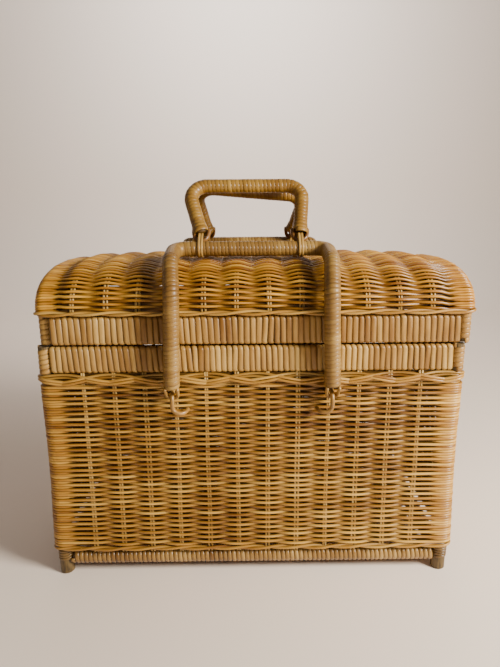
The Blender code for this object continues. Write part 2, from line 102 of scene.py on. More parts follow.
class Strands:
    """Gathers swept strands of cane into one mesh."""

    def __init__(self):
        self.points, self.quads, self.grain, self.tone, self.shade = [], [], [], [], []
        self.count = 0

    def add(self, path, width, thick, normal=None, closed=False, sides=8, tone=None, shade=1.0,
            crease=CREASE_SHADE):
        """Sweep an oval along a path. Its thickness is along the normal and its width across it.

        crease darkens the oval's two edges with painted shade, where a strand presses on its
        neighbours.
        """
        path = np.asarray(path, float)
        n = len(path)
        if closed:
            tangent = unit(np.roll(path, -1, 0) - np.roll(path, 1, 0))
        else:
            tangent = unit(np.gradient(path, axis=0))
        if normal is None:
            normal = carried(tangent)
        normal = np.broadcast_to(np.asarray(normal, float), path.shape)
        v = unit(normal - tangent * (normal * tangent).sum(1, keepdims=True))
        u = np.cross(tangent, v)
        a = 2 * np.pi * (np.arange(sides) + 0.5) / sides
        cw = np.cos(a)[None, :, None] * (np.broadcast_to(width, n)[:, None, None] / 2)
        sw = np.sin(a)[None, :, None] * (np.broadcast_to(thick, n)[:, None, None] / 2)
        skin = path[:, None] + u[:, None] * cw + v[:, None] * sw
        ring = np.arange(sides)
        following = (ring + 1) % sides
        last = n if closed else n - 1
        i = np.arange(last)[:, None]
        j = (i + 1) % n
        quads = np.stack([i * sides + ring, i * sides + following,
                          j * sides + following, j * sides + ring], -1).reshape(-1, 4)
        if not closed:
            k = np.arange(sides // 2 - 1)
            cap = np.stack([k, k + 1, sides - 2 - k, sides - 1 - k], -1)
            quads = np.concatenate([quads, cap[:, ::-1], cap + (n - 1) * sides])
        along = arc_length(path)
        seed = rng.random() * 40
        grain = np.empty((n, sides, 3))
        grain[..., 0] = along[:, None] + seed
        grain[..., 1] = np.cos(a) * np.mean(width) / 2 + seed
        grain[..., 2] = np.sin(a) * np.mean(thick) / 2
        self.points.append(skin.reshape(-1, 3))
        self.quads.append(quads + self.count)
        self.grain.append(grain.reshape(-1, 3))
        tone = rng.random() if tone is None else tone
        self.tone.append(np.repeat(np.broadcast_to(tone, n), sides))
        # painted shade on the oval's two edges
        edge = 1 - crease * np.cos(a) ** 4
        self.shade.append((np.broadcast_to(shade, n)[:, None] * edge).ravel())
        self.count += n * sides

    def build(self, name, body, material, slot, replaces=()):
        """Make the mesh, which rides on a body and takes the place of some CAD nodes."""
        points = np.concatenate(self.points).astype(np.float32)
        quads = np.concatenate(self.quads).astype(np.int32)
        mesh = bpy.data.meshes.new(name)
        mesh.vertices.add(len(points))
        mesh.vertices.foreach_set("co", points.ravel())
        mesh.loops.add(quads.size)
        mesh.loops.foreach_set("vertex_index", quads.ravel())
        mesh.polygons.add(len(quads))
        mesh.polygons.foreach_set("loop_start", np.arange(0, quads.size, 4, dtype=np.int32))
        mesh.update(calc_edges=True)
        mesh.polygons.foreach_set("use_smooth", np.ones(len(quads), bool))
        for label, kind, key, values in (("grain", "FLOAT_VECTOR", "vector", self.grain),
                                         ("tone", "FLOAT", "value", self.tone),
                                         ("shade", "FLOAT", "value", self.shade)):
            data = mesh.attributes.new(label, kind, "POINT").data
            data.foreach_set(key, np.concatenate(values).astype(np.float32).ravel())
        mesh.materials.append(material)
        mesh.validate()
        obj = linked(name, mesh)
        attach(obj, body)
        if replaces:
            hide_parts(*replaces)


def carried(tangent):
    """Return normals carried along a path without twist."""
    first = np.cross(tangent[0], (1.0, 0.0, 0.0))
    if np.linalg.norm(first) < 0.3:
        first = np.cross(tangent[0], (0.0, 0.0, 1.0))
    normals = [first / np.linalg.norm(first)]
    for t in tangent[1:]:
        v = normals[-1] - t * normals[-1].dot(t)
        normals.append(v / np.linalg.norm(v))
    return np.array(normals)


def arc_length(path):
    return np.concatenate([[0], np.cumsum(np.linalg.norm(np.diff(path, axis=0), axis=1))])


def along_line(at, s, values):
    """Return vectors read off at some lengths along a line."""
    return np.stack([np.interp(at, s, values[:, k]) for k in range(3)], 1)


def resample(path, step, closed=False):
    """Return evenly spaced points along a polyline."""
    path = np.asarray(path, float)
    if closed:
        path = np.concatenate([path, path[:1]])
    s = arc_length(path)
    n = max(2, round(s[-1] / step) + 1)
    made = along_line(np.linspace(0, s[-1], n), s, path)
    return made[:-1] if closed else made


def wander(n, amount, knots):
    """Return n smoothly wandering values."""
    at = np.linspace(0, knots - 1, n)
    return np.interp(at, np.arange(knots), rng.normal(0, amount, knots))


def wind(strands, path, radius, pitch, thick=0.0013, steps=12, start=0.0, taper=None, ends=0.82,
         core=True, overlap=1.08):
    """Wind a flat cane round a pole that follows a path.

    taper is the share of the path at either end over which the pole changes to `ends` times its
    radius.
    """
    fine = resample(path, 0.002)
    s = arc_length(fine)
    turns = s[-1] / pitch
    n = int(turns * steps)
    t = np.linspace(0, turns, n)
    at = t * pitch
    tangent = unit(np.gradient(fine, axis=0))
    normals = carried(tangent)
    centre = along_line(at, s, fine)
    normal = unit(along_line(at, s, normals))
    side = np.cross(unit(along_line(at, s, tangent)), normal)
    a = 2 * np.pi * t + start
    out = normal * np.cos(a)[:, None] + side * np.sin(a)[:, None]
    reach = radius - thick / 2 + wander(n, 0.00006, max(3, int(turns)))
    if taper is not None:
        reach = reach * np.interp(at / s[-1], (0, taper, 1 - taper, 1), (ends, 1, 1, ends))
    turn = np.floor(t).astype(int)
    tone = 0.5 + wander(n, 0.14, max(3, int(turns / 3))) + rng.normal(0, 0.07, turn.max() + 1)[turn]
    strands.add(centre + out * reach[:, None], pitch * overlap, thick, out, tone=np.clip(tone, 0, 1),
                crease=WIND_CREASE_SHADE)
    if core:
        size = 2 * radius - 1.7 * thick
        # painted shade on the core, which shows only between the turns
        strands.add(fine, size, size, normals, sides=12, tone=0.3, shade=0.35)


def bar_section(half, corner):
    """Return a flat bar's rounded section: places and normals, across and up."""
    section = []
    for k, (across, up) in enumerate(((1, 1), (-1, 1), (-1, -1), (1, -1))):
        for i in range(4):
            a = math.pi / 2 * (k + i / 3)
            section.append((across * (half[0] - corner) + corner * math.cos(a),
                            up * (half[1] - corner) + corner * math.sin(a), math.cos(a), math.sin(a)))
    return section


def wind_bar(strands, low, high, axis, pitch, thick=0.0026):
    """Wind a cane round a flat bar given by its box, with vertical turns on its faces."""
    low, high = np.array(low, float), np.array(high, float)
    other = 1 - axis
    half = np.array(((high - low)[other] / 2, (high - low)[2] / 2)) - thick / 2
    middle = (low + high) / 2
    section = bar_section(half, 0.0026)
    end_gap = 0.0003
    length = (high - low)[axis] - 2 * end_gap
    turns = round(length / pitch)
    pitch = length / turns
    n = len(section)
    path, normal, width, tones = [], [], [], []
    tilt, tone = 0.0, 0.5
    for turn in range(turns):
        wide = pitch * rng.uniform(0.98, 1.16)
        tone = np.clip(0.5 * tone + rng.normal(0.25, 0.19), 0, 1)
        slip = rng.normal(0, 0.00012)
        tilt = 0.6 * tilt + rng.normal(0, 0.00026)
        for i, (a, b, out, up) in enumerate(section):
            p, v = middle.copy(), np.zeros(3)
            p[axis] = low[axis] + end_gap + pitch * (turn + (i + 0.5) / n) + slip + tilt * b / half[1]
            p[other] += a + out * rng.normal(0, 0.00008)
            p[2] += b
            v[other], v[2] = out, up
            path.append(p)
            normal.append(v)
            width.append(wide)
            tones.append(tone)
    path = np.array(path)
    path[:, axis] = np.clip(path[:, axis], low[axis] + pitch * 0.45, high[axis] - pitch * 0.45)
    strands.add(path, np.array(width), thick, np.array(normal), sides=8, tone=np.array(tones))
    core = np.stack([middle, middle])
    core[0, axis], core[1, axis] = low[axis] + 0.0008, high[axis] - 0.0008
    wide, tall = 2 * half + thick * 0.1
    # painted shade on the core, which shows only between the turns
    strands.add(resample(core, 0.02), wide, tall, (0.0, 0.0, 1.0), sides=8, tone=0.3, shade=0.3)


# ---------------------------------------------------------------- materials

FIBRE_SCALE = (70.0, 2600.0, 2600.0)        # per metre: along a strand, and twice across it
BLOTCH_SCALE = (28.0, 120.0, 120.0)
STREAK_SCALE = (700.0, 700.0, 90.0)
STAIN_SCALE, STAIN = 9.0, 0.55


class Look:
    """A material, with short ways to add nodes to it."""

    def __init__(self, name):
        self.mat = bpy.data.materials.new(name)
        self.mat.use_nodes = True
        self.nodes, self.links = self.mat.node_tree.nodes, self.mat.node_tree.links
        self.shader = self.nodes["Principled BSDF"]

    def node(self, kind, operation, **inputs):
        """Add a node; its inputs are values, or the outputs that lead into them."""
        node = self.nodes.new(kind)
        if operation:
            node.operation = operation
        for key, value in inputs.items():
            socket = node.inputs[int(key[1:]) if key[1:].isdigit() else key]
            if isinstance(value, bpy.types.NodeSocket):
                self.links.new(value, socket)
            else:
                socket.default_value = value
        return node.outputs[0]

    def plus(self, a, b):
        return self.node("ShaderNodeMath", "ADD", _0=a, _1=b)

    def times(self, a, b):
        return self.node("ShaderNodeMath", "MULTIPLY", _0=a, _1=b)

    def attribute(self, label, output):
        node = self.nodes.new("ShaderNodeAttribute")
        node.attribute_name = label
        return node.outputs[output]

    def place(self):
        return self.nodes.new("ShaderNodeTexCoord").outputs["Object"]

    def noise(self, place, detail, roughness=0.5, scale=1.0):
        """Add noise; a scale of three numbers stretches it."""
        if not isinstance(scale, float):
            place = self.node("ShaderNodeVectorMath", "MULTIPLY", _0=place, _1=scale)
            scale = 1.0
        return self.node("ShaderNodeTexNoise", None, Vector=place, Scale=scale, Detail=detail,
                         Roughness=roughness)

    def ramp(self, at, stops):
        node = self.nodes.new("ShaderNodeValToRGB")
        self.links.new(at, node.inputs["Fac"])
        ends = node.color_ramp.elements
        for end, (position, colour) in zip(ends, (stops[0], stops[-1])):
            end.position = position
            end.color = (*colour, 1)
        for position, colour in stops[1:-1]:
            ends.new(position).color = (*colour, 1)
        return node.outputs["Color"]

    def relief(self, height, strength, distance):
        bump = self.node("ShaderNodeBump", None, Height=height, Strength=strength,
                         Distance=distance)
        self.links.new(bump, self.shader.inputs["Normal"])


def cane_material(name, dark, mid, light, rough=0.38, coat=0.22, bump=0.35, fibre=0.35):
    """Lacquered cane: a tone for each strand, fibres along it, stains across the whole piece."""
    look = Look(name)
    tone, shade = look.attribute("tone", "Fac"), look.attribute("shade", "Fac")
    grain = look.attribute("grain", "Vector")
    fibres = look.noise(grain, 3.0, 0.6, FIBRE_SCALE)
    blotches = look.noise(grain, 2.0, 0.5, BLOTCH_SCALE)
    stains = look.noise(look.place(), 3.0, 0.55, STAIN_SCALE)
    # tone, moved along the strand and across the piece
    shift = look.times(look.plus(blotches, -0.5), 0.9)
    broad = look.times(look.plus(stains, -0.5), STAIN * 2)
    index = look.plus(look.plus(look.plus(look.times(tone, 0.72), 0.14), shift), broad)
    colour = look.ramp(index, ((0.05, dark), (0.5, mid), (0.95, light)))
    line = look.plus(look.times(fibres, fibre * 2), 1 - fibre)
    # the colour is darkened by the painted shade that the shade attribute carries
    colour = look.node("ShaderNodeVectorMath", "SCALE", _0=colour, Scale=look.times(line, shade))
    look.links.new(colour, look.shader.inputs["Base Color"])
    gloss = look.plus(look.times(blotches, 0.24), rough - 0.12)
    look.links.new(gloss, look.shader.inputs["Roughness"])
    look.relief(fibres, bump, 0.00025)
    look.shader.inputs["Coat Weight"].default_value = coat
    look.shader.inputs["Coat Roughness"].default_value = 0.22
    look.shader.inputs["Specular IOR Level"].default_value = 0.38
    return look.mat


def pole_material(name, dark, light, rough):
    """Bare pole: bark-like streaks up the pole, mottling, matt."""
    look = Look(name)
    streaks = look.noise(look.place(), 4.0, scale=STREAK_SCALE)
    look.links.new(look.ramp(streaks, ((0.32, dark), (0.68, light))),
                   look.shader.inputs["Base Color"])
    look.relief(streaks, 0.6, 0.0006)
    look.shader.inputs["Roughness"].default_value = rough
    return look.mat


# each from its darkest tone to its lightest
WALL = cane_material("weaver_cane", (0.19, 0.068, 0.006), (0.45, 0.205, 0.022), (0.74, 0.42, 0.078))
LID = cane_material("lid_cane", (0.24, 0.080, 0.004), (0.50, 0.215, 0.014), (0.82, 0.43, 0.050))
BRAID = cane_material("braid_cane", (0.24, 0.090, 0.010), (0.46, 0.225, 0.030), (0.66, 0.39, 0.085))
WRAP = cane_material("wrap_cane", (0.20, 0.085, 0.012), (0.37, 0.195, 0.042), (0.58, 0.355, 0.095),
                     rough=0.42, coat=0.15, fibre=0.5, bump=0.6)
BAIL = cane_material("bail_cane", (0.15, 0.065, 0.010), (0.250, 0.133, 0.028), (0.41, 0.250, 0.064),
                     rough=0.44, coat=0.15, fibre=0.5, bump=0.5)
GRIP = cane_material("grip_cane", (0.16, 0.062, 0.006), (0.260, 0.130, 0.018), (0.42, 0.24, 0.042),
                     rough=0.42, coat=0.18, fibre=0.5, bump=0.5)
STAKE = cane_material("stake_cane", (0.28, 0.14, 0.030), (0.50, 0.31, 0.085), (0.70, 0.50, 0.19))
RING = cane_material("ring_cane", (0.22, 0.095, 0.015), (0.42, 0.22, 0.050), (0.60, 0.39, 0.12))
GRIP_EYE = cane_material("grip_eye_cane", (0.13, 0.045, 0.010), (0.26, 0.110, 0.022),
                         (0.42, 0.22, 0.055))
ANKLE = cane_material("ankle_cane", (0.09, 0.045, 0.010), (0.20, 0.110, 0.028), (0.34, 0.21, 0.060))
RAIL = cane_material("rail_cane", (0.14, 0.060, 0.010), (0.29, 0.155, 0.036), (0.47, 0.29, 0.085),
                     fibre=0.5)
POLE = pole_material("bare_pole", (0.040, 0.022, 0.006), (0.17, 0.105, 0.030), rough=0.55)
HINGE_ROD = pole_material("small_cane", (0.30, 0.15, 0.035), (0.62, 0.42, 0.17), rough=0.38)


# ---------------------------------------------------------------- basket

def bow(z):
    """Return how far the posts bow outwards at a height."""
    if z < WAIST_Z:
        return FOOT_BOW * 0.5 * (1 + math.cos(math.pi * z / WAIST_Z))
    share = min(1.0, (z - WAIST_Z) / (RIM_Z0 - WAIST_Z))
    return RIM_BOW * 0.5 * (1 - math.cos(math.pi * share))


def post_centre(z):
    """Return the half distances between the posts' centres at a height."""
    return BODY_HALF - POST_INSET + bow(z)


FRONT_STAKES = (np.arange(12) - 5.5) * STAKE_PITCH
SIDE_STAKES = (np.arange(6) - 2.5) * SIDE_PITCH


def circuit(cx, cy):
    """Return the line of posts and stake pairs round the basket: place, outward normal, kind.

    Kind 0 is a post, and any other kind is a stake pair.
    """
    stations = []
    for k in range(4):
        stakes, half = (FRONT_STAKES, (cx, cy)) if k % 2 == 0 else (SIDE_STAKES, (cy, cx))
        out = np.array((math.sin(math.pi / 2 * k), -math.cos(math.pi / 2 * k), 0.0))
        way = np.array((-out[1], out[0], 0.0))
        ends = [(-half[0], 0)] + [(s, 1) for s in stakes] + [(half[0], 0)]
        stations += [(way * s + out * half[1], out, kind) for s, kind in ends]
    return stations


def eased(f, low, high):
    """Return a smooth step from 0 to 1 between low and high."""
    g = np.clip((f - low) / (high - low), 0, 1)
    return 0.5 - 0.5 * math.cos(math.pi * g)


def swing_at(kind, count, row):
    """Return a weaver's swing: outside the posts, and in and out by turns at the stakes."""
    return SWING if kind == 0 or (count + row) % 2 else -SWING


def wall_row(z, row, corner_steps=5):
    """Return the path, normals and swing of one weaver that goes once round the basket."""
    middle = POST_INSET - WEAVER_R - SWING
    stations = circuit(*post_centre(z))
    place, normal, swing = [], [], []
    count = 0
    for i, (p, out, kind) in enumerate(stations):
        q, out2, kind2 = stations[(i + 1) % len(stations)]
        here = swing_at(kind, count, row)
        count += kind
        there = swing_at(kind2, count, row)
        if kind == 0 and kind2 == 0:
            for j in range(corner_steps):
                a = math.pi / 2 * j / corner_steps
                place.append(p)
                normal.append(out * math.cos(a) + out2 * math.sin(a))
                swing.append(here)
            continue
        crossing = CROSSING if kind and kind2 else (FROM_POST if kind2 else TO_POST)
        for j in range(SPAN_STEPS):
            f = j / SPAN_STEPS
            w = eased(f, *crossing)
            place.append(p * (1 - f) + q * f)
            normal.append(out)
            swing.append(here * (1 - w) + there * w)
    place, normal, swing = map(np.array, (place, normal, swing))
    path = place + normal * (middle + swing)[:, None]
    path[:, 2] = z
    return path, normal, swing


def depth_shade(swing):
    """Return painted shade: weavers are made darker where they pass behind the stakes."""
    return INNER_SHADE + (1 - INNER_SHADE) * (0.5 + 0.5 * np.clip(swing / SWING, -1, 1))


def inner_spread(swing):
    """Return how much wider a weaver is, from just inside its outermost place to its innermost."""
    start = 0.55
    return 1 + INNER_SPREAD * np.clip((start - swing / SWING) / (1 + start), 0, 1)


def closed_wander(n, amount, knots):
    """Return n smoothly wandering values that end where they start."""
    values = rng.normal(0, amount, knots)
    at = np.arange(n) * knots / n
    return np.interp(at, np.arange(knots + 1), np.append(values, values[0]))


WALL_PANELS = [f"wall_weave_{side}" for side in ("front", "right", "rear", "left")]


def wall_weavers():
    groups = [Strands() for _ in range(4)]
    for row in range(ROWS):
        z = WEAVE_Z0 + (WEAVE_Z1 - WEAVE_Z0) * row / (ROWS - 1)
        path, normal, swing = wall_row(z, row)
        n = len(path)
        path[:, 2] += closed_wander(n, 0.00022, 30)
        path += normal * closed_wander(n, 0.00018, 36)[:, None]
        height = WEAVER_HEIGHT * (inner_spread(swing) + closed_wander(n, 0.04, 24))
        tone = np.clip(rng.uniform(0.15, 0.85) + closed_wander(n, 0.16, 9), 0, 1)
        groups[row * 4 // ROWS].add(path, height, 2 * WEAVER_R, normal, closed=True, tone=tone,
                                    shade=depth_shade(swing))
    for k, strands in enumerate(groups):
        strands.build(f"wall_weavers_{k + 1}", "basket", WALL, "weave", WALL_PANELS)


def wall_stakes():
    stakes = Strands()
    levels = np.linspace(STAKE_Z0, STAKE_Z1, 14)
    rings = [circuit(*post_centre(z)) for z in levels]
    for k, (_, out, kind) in enumerate(rings[0]):
        if not kind:
            continue
        way = np.array((-out[1], out[0], 0.0))
        for side in (-1, 1):
            path = np.array([ring[k][0] for ring in rings])
            path += out * (POST_INSET - WEAVER_R - SWING) + way * side * STAKE_GAP
            path[:, 2] = levels
            path += way * wander(len(path), 0.0003, 5)[:, None]
            tone = np.clip(rng.normal(0.5, 0.2), 0, 1)
            stakes.add(path, STAKE_WIDTH, STAKE_THICK, out, tone=tone)
    stakes.build("wall_stakes", "basket", STAKE, "weave", WALL_PANELS)


def ring_line(half_x, half_y, rho, z, step=0.0035, centre_x=0.0):
    """Return a closed line round a rectangle of corner centres, with normals and arc length."""
    path, normal = [], []
    for k, (sx, sy) in enumerate(((1, -1), (1, 1), (-1, 1), (-1, -1))):
        for i in range(9):
            a = math.radians(90 * (k - 1) + 90 * i / 8)
            out = np.array((math.cos(a), math.sin(a), 0.0))
            path.append(np.array((sx * half_x + centre_x, sy * half_y, z)) + out * rho)
            normal.append(out)
    path, normal = np.array(path), np.array(normal)
    loop = np.concatenate([path, path[:1]])
    turn = np.concatenate([normal, normal[:1]])
    s = arc_length(loop)
    n = round(s[-1] / step)
    at = np.arange(n) * s[-1] / n
    return along_line(at, s, loop), unit(along_line(at, s, turn)), at, s[-1]


def twine(strands, line, count, periods, out, rise, size, phase=0.0, lean=1):
    """Twist some strands round each other along a closed line."""
    path, normal, at, length = line
    for k in range(count):
        a = 2 * np.pi * (lean * at / length * periods + k / count) + phase
        n = len(path)
        drift = closed_wander(n, 0.0002, 40)
        p = path + normal * (out * np.cos(a) + drift)[:, None]
        p[:, 2] += rise * np.sin(a) + closed_wander(n, 0.00025, 40)
        # painted shade: darker where the strand turns inward
        shade = 0.86 + 0.14 * np.cos(a)
        tone = np.clip(rng.uniform(0.3, 0.8) + closed_wander(n, 0.15, 12), 0, 1)
        strands.add(p, size * 1.04, size * 0.96, normal, closed=True, tone=tone, shade=shade)


def plait(strands, line, periods, out, rise, size):
    """Braid three pairs of canes in a long sweep along a closed line."""
    path, normal, at, length = line
    n = len(path)
    for k in range(3):
        a = 2 * np.pi * (at / length * periods + k / 3)
        depth = np.cos(2 * a)
        drift = closed_wander(n, 0.0003, 40)
        for pair in (-1, 1):
            p = path + normal * (out * depth + closed_wander(n, 0.0002, 50))[:, None]
            p[:, 2] += rise * np.sin(a) + drift + pair * size * 0.5 + closed_wander(n, 0.0002, 60)
            tone = np.clip(rng.uniform(0.2, 0.85) + closed_wander(n, 0.16, 14), 0, 1)
            # painted shade: darker where the pair turns inward
            shade = 0.84 + 0.16 * depth
            strands.add(p, size, size * 0.94, normal, closed=True, tone=tone, shade=shade)


PACKING_OUT, PACKING_END = 0.0054, 0.0058  # from the line of the posts, and short of a post


def packing(strands, levels):
    """Straight canes packed between the posts, behind the stakes."""
    for z in levels:
        cx, cy = post_centre(z)
        for axis, half, back in ((0, cx, cy), (1, cy, cx)):
            for side in (-1, 1):
                path = np.zeros((24, 3))
                path[:, axis] = np.linspace(-1, 1, 24) * (half - PACKING_END)
                path[:, 1 - axis] = side * (back + PACKING_OUT) + wander(24, 0.0002, 9)
                path[:, 2] = z + wander(24, 0.0002, 9)
                normal = np.zeros(3)
                normal[1 - axis] = side
                # painted shade on these recessed canes
                strands.add(path, WEAVER_HEIGHT, 2 * WEAVER_R, normal, shade=0.45)


def borders():
    cx, cy = post_centre(0.0326)
    low = Strands()
    twine(low, ring_line(cx, cy, 0.0097, 0.0330), 2, 20, 0.0016, 0.0013, 0.0030)
    low.build("lower_twined_row", "basket", BRAID, "braid", ["lower_twining"])
    cx, cy = post_centre(0.2235)
    top = Strands()
    plait(top, ring_line(cx, cy, 0.0104, 0.2232), 9, 0.0022, 0.0042, 0.0030)
    packing(top, 0.2183 + 0.0027 * np.arange(5))
    top.build("border_strands", "basket", BRAID, "braid", ["border_braid"])
    lid = Strands()
    line = ring_line(*(LID_HALF - 0.0075), 0.0085, 0.2915, centre_x=LID_SHIFT)
    twine(lid, line, 2, 20, 0.0014, 0.0014, 0.0029)
    lid.build("lid_twined_row", "lid", BRAID, "braid", ["lid_twining"])


def base_mat():
    """Woven floor: weavers along X over pairs of ribs along Y."""
    strands = Strands()
    reach_x, reach_y = post_centre(BASE_Z - 0.0022) + 0.0045
    ribs = np.linspace(-reach_x + 0.014, reach_x - 0.014, 15)
    for x in ribs:
        for side in (-1, 1):
            path = np.array([(x + side * 0.0014, y, BASE_Z) for y in np.linspace(-reach_y, reach_y, 5)])
            strands.add(path, 0.0024, 0.0024, (0, 0, 1), sides=6)
    rows = 62
    edge = reach_x - 0.006
    spans = [np.linspace(a, b, 6) for a, b in zip((-edge, *ribs), (*ribs, edge))]
    x = np.unique(np.concatenate(spans))
    for row in range(rows):
        y = -reach_y + 0.0035 + (2 * reach_y - 0.007) * row / (rows - 1)
        beside_post = abs(y) > reach_y - 0.0145
        xs = x[np.abs(x) < reach_x - (0.0135 if beside_post else 0.0005)]
        phase = np.interp(xs, ribs, np.arange(len(ribs)))
        path = np.stack([xs, np.full(len(xs), y) + wander(len(xs), 0.0002, 12),
                         BASE_Z + 0.0019 * np.cos(np.pi * (phase + row))], 1)
        strands.add(path, 0.0033, 0.0020, (0, 0, 1), sides=6)
    strands.build("base_strands", "basket", WALL, "weave", ["base_weave"])


def paint(prefixes, material):
    """Give CAD nodes that keep their shapes a material."""
    for name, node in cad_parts.items():
        if name.startswith(prefixes):
            node.data.materials.clear()
            node.data.materials.append(material)


def short_winding(strands, x, y, z0, z1, radius, pitch, thick, overlap=1.08):
    """Wind a cane round a stretch of an upright pole that shows between other pieces."""
    wind(strands, [(x, y, z0), (x, y, z1)], radius, pitch, thick=thick, steps=16,
         start=rng.random() * 6, core=False, overlap=overlap)


def corners():
    return [(sx, sy) for sx in (-1, 1) for sy in (-1, 1)]


def poles():
    """Bare poles keep their CAD shapes; their visible tops and ankles are wrapped."""
    paint(("corner_post", "lid_arch", "base_slat"), POLE)
    wraps, ankles, stubs = Strands(), Strands(), Strands()
    for corner in corners():
        x, y = TENON * corner
        short_winding(wraps, x, y, RIM_Z0 + 0.0012, RIM_Z1 - 0.0014, 0.0067, 0.0050, 0.0014)
        x, y = post_centre(0.024) * corner
        short_winding(ankles, x, y, 0.0160, 0.0300, POST_R + 0.0011, 0.0031, 0.0019, overlap=1.0)
    wraps.build("post_wraps", "basket", WRAP, "wrap")
    ankles.build("ankle_wraps", "basket", ANKLE, "wrap")
    for corner in corners():
        x, y = ARCH_FOOT * corner
        short_winding(stubs, LID_SHIFT + x, y, LID_Z0 + 0.0012, LID_Z1, 0.0069, 0.0052, 0.0015)
    stubs.build("lid_corner_wraps", "lid", WRAP, "wrap")


SIDE_AXES = {"front": 0, "rear": 0, "left": 1, "right": 1}


def bands():
    for prefix, body, pitch in (("rim_band", "basket", 0.0056), ("lid_band", "lid", 0.0059)):
        for side, axis in SIDE_AXES.items():
            strands = Strands()
            wind_bar(strands, *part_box(f"{prefix}_{side}"), axis, pitch)
            strands.build(f"{prefix}_wraps_{side}", body, WRAP, "wrap", [f"{prefix}_{side}"])


def bottom_rails():
    for side, axis in SIDE_AXES.items():
        low, high = map(np.array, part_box(f"bottom_rail_{side}"))
        ends = np.stack([(low + high) / 2] * 2)
        ends[:, axis] = low[axis], high[axis]
        radius = (high - low)[2] / 2 + 0.0002
        strands = Strands()
        wind(strands, ends, radius, 0.0049, thick=0.0026, steps=14, overlap=1.04)
        strands.build(f"bottom_rail_wraps_{side}", "basket", RAIL, "wrap", [f"bottom_rail_{side}"])


# ---------------------------------------------------------------- lid

def dome_rise(x):
    return DOME_RISE - DOME_END_DROP * np.abs(x / LID_HALF[0]) ** DOME_END_POWER


def dome_point(x, t, depth, rise):
    """Return the point of the arched section at angle t."""
    c, s = np.cos(t), np.sin(t)
    y = -np.sign(c) * np.abs(c) ** (2 / DOME_POWER) * depth
    z = DOME_BASE_Z + rise * np.maximum(s, 0) ** (2 / DOME_POWER)
    return np.stack([LID_SHIFT + x, y, z], -1)


def dome_rows(rows, inset):
    """Return section angles spaced evenly along the arch."""
    t0 = math.asin(((DOME_Z0 + 0.0008 - DOME_BASE_Z) / DOME_RISE) ** (DOME_POWER / 2))
    t = np.linspace(t0, math.pi - t0, 2000)
    s = arc_length(dome_point(np.zeros(2000), t, LID_HALF[1] - inset, DOME_RISE - inset))
    return np.interp(np.linspace(0, s[-1], rows), s, t)


def dome_normal(t):
    """Return the section's outward normal at angle t."""
    e = 1e-3
    a, b = (dome_point(0.0, t + d, LID_HALF[1], DOME_RISE) for d in (-e, e))
    d = unit(b - a)
    return np.array((0.0, -d[2], d[1]))


DOME_ROWS = 94
RIBS = (np.arange(12) - 5.5) * 0.0320 - 0.0030
DOME_MID = WEAVER_R + SWING                # from the dome's outside to the middle of its weave
DOME_SAG = 0.0018                          # how far the weave sinks between two ribs
END_SAG = 0.7 * DOME_SAG                   # the same between the last rib and an arch
END_SHADE_DIVE = 0.9 * SWING                     # painted shade there, by a deeper swing that also widens the weaver
LOOP_START, LOOP_END, LOOP_STEPS = math.radians(-22), math.radians(205), 12    # turns round an arch
LOOP_R = ARCH_R + WEAVER_R + 0.0004
ARCH_EDGE = ARCH_FOOT[0] + LOOP_R * math.sin(LOOP_START)
ARCH_RISE = dome_rise(ARCH_FOOT[0]) - ARCH_DROP
PINCH = 0.0013                             # rows draw together in pairs beside an arch


def arch_point(t, sx):
    """Return the centre of an arch pole at angle t, or the point between the two for sx = 0."""
    return dome_point(sx * ARCH_FOOT[0], t, ARCH_FOOT[1], ARCH_RISE)


def arch_turn(t, slant, sx):
    """Return a weaver's turn round an arch pole, from the dome's outside inwards."""
    turn = []
    for share in np.linspace(0, 1, LOOP_STEPS):
        a = LOOP_START + (LOOP_END - LOOP_START) * share
        at = t + sx * slant * share
        out = dome_normal(at) * math.cos(a) + np.array((sx * math.sin(a), 0.0, 0.0))
        turn.append(arch_point(at, sx) + out * LOOP_R)
    return np.array(turn)


def turn_normals(turn, t, sx, tangent):
    out = turn - arch_point(t, sx)
    return unit(out - tangent * (out @ tangent)[:, None])


def dome_span(row, t, normal, tangent):
    """Return a weaver's points between the two arches, and its swing at each."""
    swings = [swing_at(1, k, row) for k in range(len(RIBS))]
    pinch = tangent * PINCH * (1 if row % 2 else -1)
    points, swing = [], []
    stations = (-ARCH_EDGE, *RIBS, ARCH_EDGE)
    for i, (x0, x1) in enumerate(zip(stations, stations[1:])):
        for j in range(0 if i else 1, SPAN_STEPS):
            f = j / SPAN_STEPS
            w = eased(f, *CROSSING)
            x = x0 + (x1 - x0) * f
            surface = dome_point(x, t, LID_HALF[1], dome_rise(x))
            if 0 < i < len(RIBS):
                lift = swings[i - 1] * (1 - w) + swings[i] * w
                sag = DOME_SAG * math.sin(math.pi * f) ** 2
                points.append(surface + normal * (lift - DOME_MID - sag))
            else:
                # from the outside of an arch to the first or the last rib
                share, at_rib = (w, swings[0]) if i == 0 else (1 - w, swings[-1])
                bulge = math.sin(math.pi * share)
                rib = surface + normal * (at_rib - DOME_MID)
                arch = arch_point(t, 0) + normal * LOOP_R * math.cos(LOOP_START)
                arch[0] = rib[0]
                points.append(arch * (1 - share) + rib * share - normal * END_SAG * bulge
                              + pinch * bulge ** 2)
                # the deeper swing paints shade beside the arch and widens the weaver there
                lift = SWING * (1 - share) + at_rib * share - END_SHADE_DIVE * bulge
            swing.append(lift)
    return np.array(points), np.array(swing)


